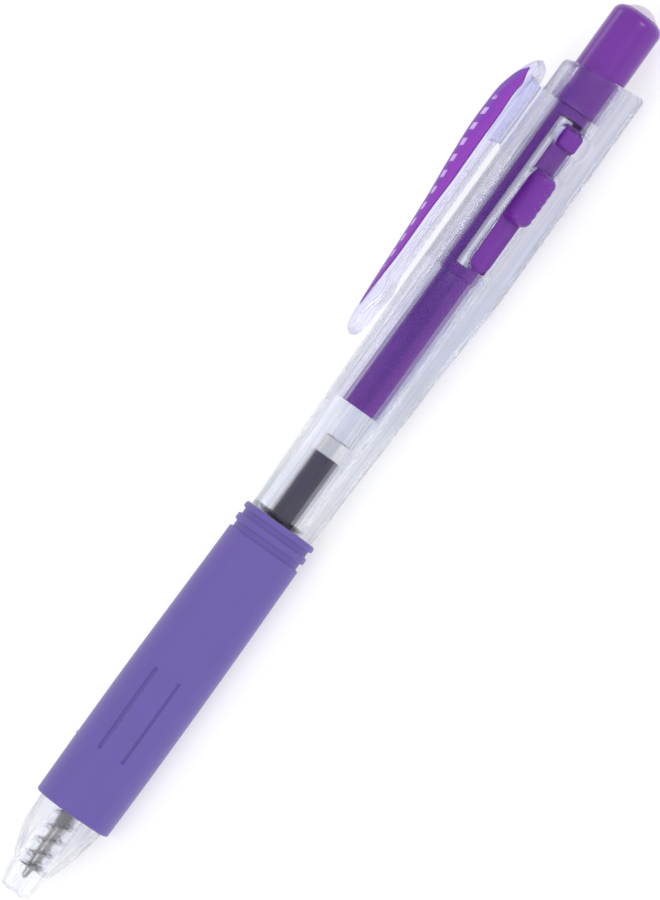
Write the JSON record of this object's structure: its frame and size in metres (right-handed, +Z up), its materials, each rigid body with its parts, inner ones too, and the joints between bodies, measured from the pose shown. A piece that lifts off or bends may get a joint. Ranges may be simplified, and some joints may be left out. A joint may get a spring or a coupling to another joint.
{
  "type": "retractable pen",
  "caption": "Retractable gel pen lying on its side: clear three-sided barrel, side release button, press knob, clip, soft ribbed grip and refill",
  "frame": {"origin": "bottom centre of the bounding box, with the pen lying on its lowest grip face", "axes": "+X along the pen towards the press knob; +Z up from the table; the clip leans to +Y and the release button to -Y"},
  "size_m": [0.142, 0.0141, 0.014],
  "materials": {
    "clear_plastic": "clear, glossy, faintly lilac moulded plastic",
    "violet_plastic": "glossy vivid violet moulded plastic",
    "violet_print": "glossy violet leaf with a fine pale ornament",
    "dome_plastic": "pale translucent plastic",
    "grip_rubber": "matt blue-violet soft rubber",
    "spring_steel": "bright drawn steel wire",
    "tube_plastic": "clear, slightly milky tube",
    "ink": "dark violet gel ink",
    "follower": "clear grease",
    "holder_plastic": "pale translucent plastic",
    "tip_steel": "turned nickel silver"
  },
  "bodies": {
    "barrel": {"barrel": "clear_plastic"},
    "clip": {"clip": "clear_plastic", "clip_leaf": "violet_print"},
    "plunger": {"plunger": "violet_plastic", "plunger_dome": "dome_plastic"},
    "release_button": {"release_button": "violet_plastic"},
    "refill": {"refill_tube": "tube_plastic", "ink": "ink", "ink_follower": "follower", "refill_holder": "holder_plastic", "refill_tip": "tip_steel", "refill_ball": "tip_steel"},
    "front_section": {"front_barrel": "clear_plastic", "grip": "grip_rubber", "spring": "spring_steel"}
  },
  "joints": [
    {"name": "plunger_press", "type": "slide", "parent": "barrel", "child": "plunger", "axis": [-1, 0, 0], "range_m": [0, 0.0073], "stiffness_N_per_m": 250, "springref_m": -0.004, "deforming": ["spring"]},
    {"name": "refill_slide", "type": "slide", "parent": "barrel", "child": "refill", "axis": [-1, 0, 0], "range_m": [0, 0.0073]},
    {"name": "release_flex", "type": "hinge", "parent": "plunger", "child": "release_button", "pos_m": [0.02975, -0.00397, 0.00692], "axis": [0, 0.5, 0.866], "range_deg": [0, 2.9], "stiffness_Nm_per_rad": 0.05},
    {"name": "clip_flex", "type": "hinge", "parent": "barrel", "child": "clip", "pos_m": [0.0545, 0.00217, 0.0094], "axis": [0, 0.766, -0.6428], "range_deg": [0, 3.5], "stiffness_Nm_per_rad": 2},
    {"name": "front_pull", "type": "slide", "parent": "barrel", "child": "front_section", "axis": [-1, 0, 0], "range_m": [0, 0.075]}
  ],
  "couplings": [
    {"joint": "refill_slide", "follows": "plunger_press", "ratio": 1}
  ]
}
